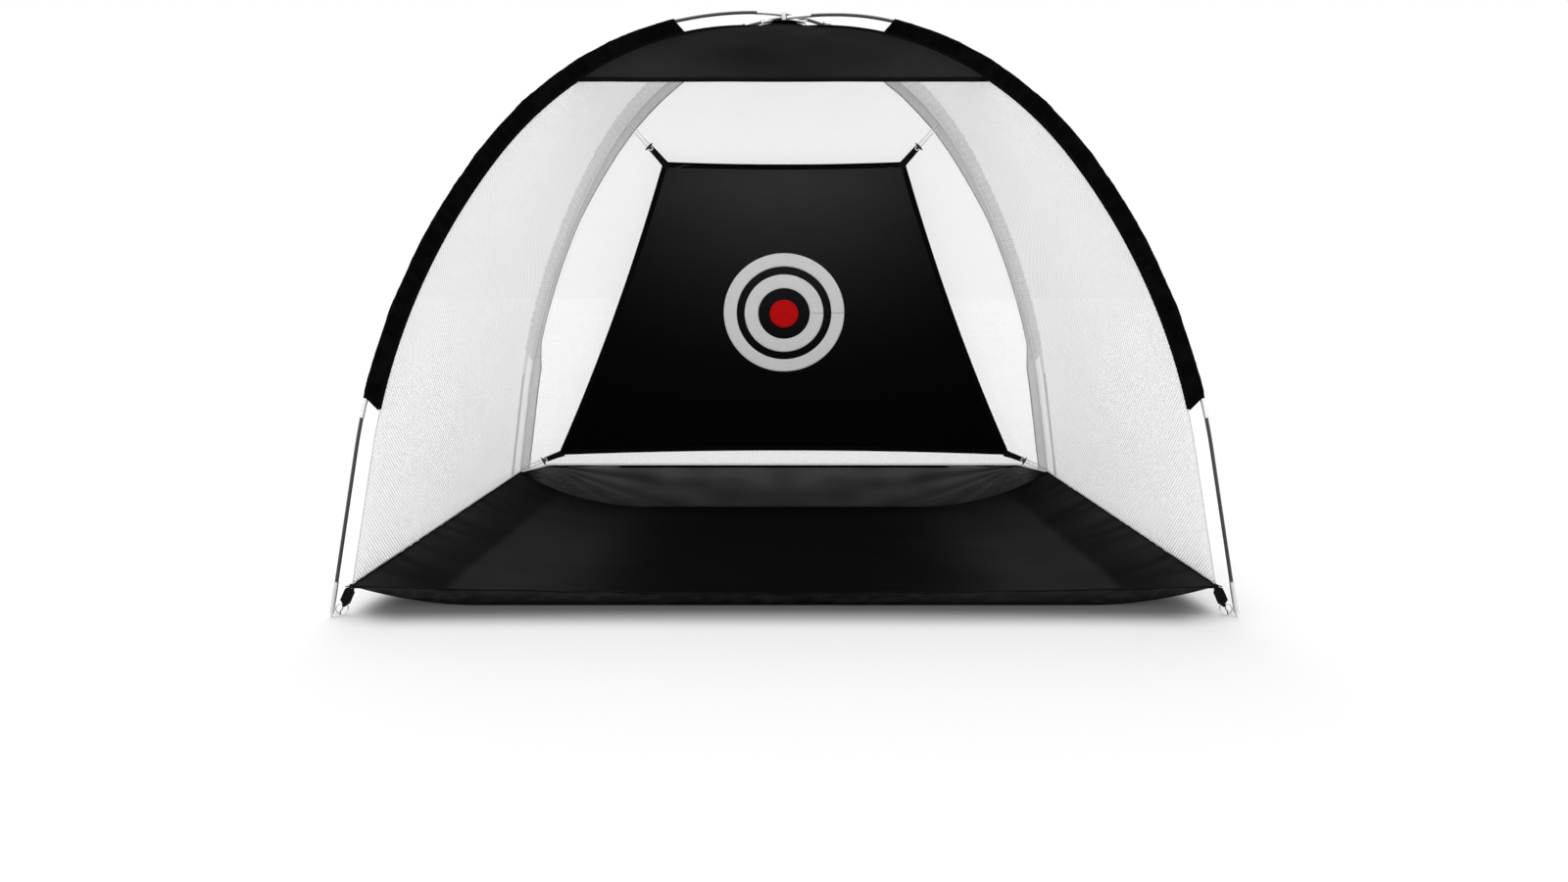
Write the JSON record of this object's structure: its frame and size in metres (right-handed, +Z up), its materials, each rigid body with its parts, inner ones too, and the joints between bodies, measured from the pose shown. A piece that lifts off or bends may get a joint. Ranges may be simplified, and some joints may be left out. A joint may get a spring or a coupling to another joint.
{
  "type": "golf chipping net",
  "caption": "Small pop-up shelter on two crossed bent poles with mesh sides, a short canopy, a hung cloth target with a ring print and a cloth tray that catches chipped golf balls.",
  "frame": {"origin": "on the ground in the middle between the four pole feet", "axes": "+Z up, +X to the right seen from the open front, +Y from the front to the back"},
  "size_m": [2.0228, 1.0496, 1.4092],
  "materials": {
    "pole_black": "smooth black fibreglass rod",
    "aluminium": "drawn tube, lightly polished",
    "elastic": "braided elastic cord",
    "steel": "nickel plated wire",
    "webbing": "woven polyester webbing",
    "sleeve_black": "black polyester",
    "sleeve_pale": "pale grey polyester, gathered",
    "net_white": "fine white mesh",
    "canopy_cloth": "black polyester, matt",
    "binding_black": "black binding tape",
    "tie_white": "white tape",
    "tray_cloth": "black polyester, matt",
    "target_cloth": "black polyester, matt",
    "print_grey": "light grey print",
    "print_red": "red print",
    "toggle_plastic": "black moulded plastic"
  },
  "bodies": {
    "shelter": {"pole_a_rod_1": "pole_black", "pole_a_rod_2": "pole_black", "pole_a_rod_3": "pole_black", "pole_a_rod_4": "pole_black", "pole_a_rod_5": "pole_black", "pole_a_rod_6": "pole_black", "pole_a_rod_7": "pole_black", "pole_a_rod_8": "pole_black", "pole_b_rod_1": "pole_black", "pole_b_rod_2": "pole_black", "pole_b_rod_3": "pole_black", "pole_b_rod_4": "pole_black", "pole_b_rod_5": "pole_black", "pole_b_rod_6": "pole_black", "pole_b_rod_7": "pole_black", "pole_b_rod_8": "pole_black", "rod_ferrules": "aluminium", "pole_tips": "aluminium", "shock_cords": "elastic", "front_left_tab": "webbing", "front_right_tab": "webbing", "rear_left_tab": "webbing", "rear_right_tab": "webbing", "target_straps": "webbing", "front_left_sleeve": "sleeve_black", "front_right_sleeve": "sleeve_black", "rear_left_sleeve": "sleeve_pale", "rear_right_sleeve": "sleeve_pale", "seam_loops": "sleeve_pale", "left_net": "net_white", "right_net": "net_white", "rear_net": "net_white", "canopy": "canopy_cloth", "crown_patch": "canopy_cloth", "canopy_hem": "binding_black", "tray_front_hem": "binding_black", "tray_rear_hem": "binding_black", "crown_tie": "tie_white", "tray_floor": "tray_cloth", "tray_left_wing": "tray_cloth", "tray_right_wing": "tray_cloth", "tray_front_lip": "tray_cloth", "tray_rear_wall": "tray_cloth"},
    "front_left_pin": {"front_left_foot_pin": "steel", "front_left_peg_ring": "steel"},
    "front_right_pin": {"front_right_foot_pin": "steel", "front_right_peg_ring": "steel"},
    "rear_left_pin": {"rear_left_foot_pin": "steel", "rear_left_peg_ring": "steel"},
    "rear_right_pin": {"rear_right_foot_pin": "steel", "rear_right_peg_ring": "steel"},
    "target": {"target_panel": "target_cloth", "target_binding": "binding_black", "bullseye_rings": "print_grey", "bullseye_dot": "print_red"},
    "top_left_toggle": {"top_left_toggle": "toggle_plastic"},
    "top_right_toggle": {"top_right_toggle": "toggle_plastic"},
    "bottom_left_toggle": {"bottom_left_toggle": "toggle_plastic"},
    "bottom_right_toggle": {"bottom_right_toggle": "toggle_plastic"}
  },
  "joints": [
    {"name": "front_left_pin_slide", "type": "slide", "parent": "shelter", "child": "front_left_pin", "axis": [-0.1782, -0.0968, -0.9792], "range_m": [0, 0.028], "deforming": ["front_left_tab"]},
    {"name": "front_right_pin_slide", "type": "slide", "parent": "shelter", "child": "front_right_pin", "axis": [0.1782, -0.0968, -0.9792], "range_m": [0, 0.028], "deforming": ["front_right_tab"]},
    {"name": "rear_left_pin_slide", "type": "slide", "parent": "shelter", "child": "rear_left_pin", "axis": [-0.1782, 0.0968, -0.9792], "range_m": [0, 0.028], "deforming": ["rear_left_tab"]},
    {"name": "rear_right_pin_slide", "type": "slide", "parent": "shelter", "child": "rear_right_pin", "axis": [0.1782, 0.0968, -0.9792], "range_m": [0, 0.028], "deforming": ["rear_right_tab"]},
    {"name": "target_give", "type": "slide", "parent": "shelter", "child": "target", "axis": [0, 0.981, 0.1942], "range_m": [0, 0.028], "stiffness_N_per_m": 60, "deforming": ["target_straps"]},
    {"name": "top_left_toggle_turn", "type": "hinge", "parent": "shelter", "child": "top_left_toggle", "pos_m": [-0.38378, 0.26288, 1.11002], "axis": [-0.0633, -0.9901, -0.1256], "range_deg": [0, 90]},
    {"name": "top_right_toggle_turn", "type": "hinge", "parent": "shelter", "child": "top_right_toggle", "pos_m": [0.38378, 0.26288, 1.11002], "axis": [0.0633, -0.9901, -0.1256], "range_deg": [0, 90]},
    {"name": "bottom_left_toggle_turn", "type": "hinge", "parent": "shelter", "child": "bottom_left_toggle", "pos_m": [-0.7737, 0.45769, 0.16092], "axis": [-0.1896, -0.9416, -0.2782], "range_deg": [0, 90]},
    {"name": "bottom_right_toggle_turn", "type": "hinge", "parent": "shelter", "child": "bottom_right_toggle", "pos_m": [0.7737, 0.45769, 0.16092], "axis": [0.1896, -0.9416, -0.2782], "range_deg": [0, 90]}
  ]
}
